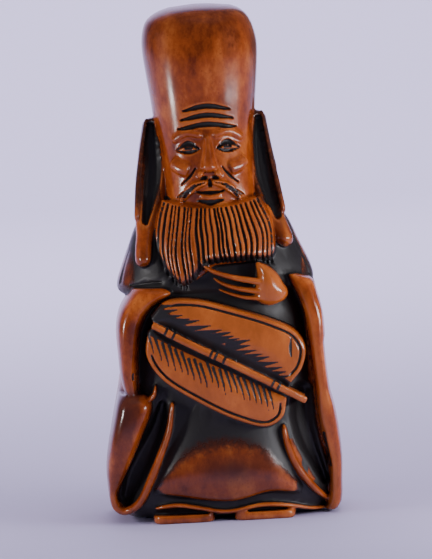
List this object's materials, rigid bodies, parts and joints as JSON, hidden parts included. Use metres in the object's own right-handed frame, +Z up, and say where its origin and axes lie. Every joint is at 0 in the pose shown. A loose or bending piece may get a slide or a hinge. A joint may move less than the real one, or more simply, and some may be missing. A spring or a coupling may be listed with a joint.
{
  "type": "netsuke",
  "caption": "Carved boxwood toggle in the form of a standing long-headed bearded sage with a feather fan, cord holes in the back, flat soles to stand on",
  "frame": {"origin": "middle of the figure's outline in plan, on the surface it stands on", "axes": "+Z up through the head, +X to the right seen from the front, the figure faces -Y"},
  "size_m": [0.0286, 0.0214, 0.062],
  "materials": {
    "boxwood": "polished, stained dark in the cuts"
  },
  "bodies": {
    "root": {"netsuke": "boxwood"}
  },
  "joints": []
}
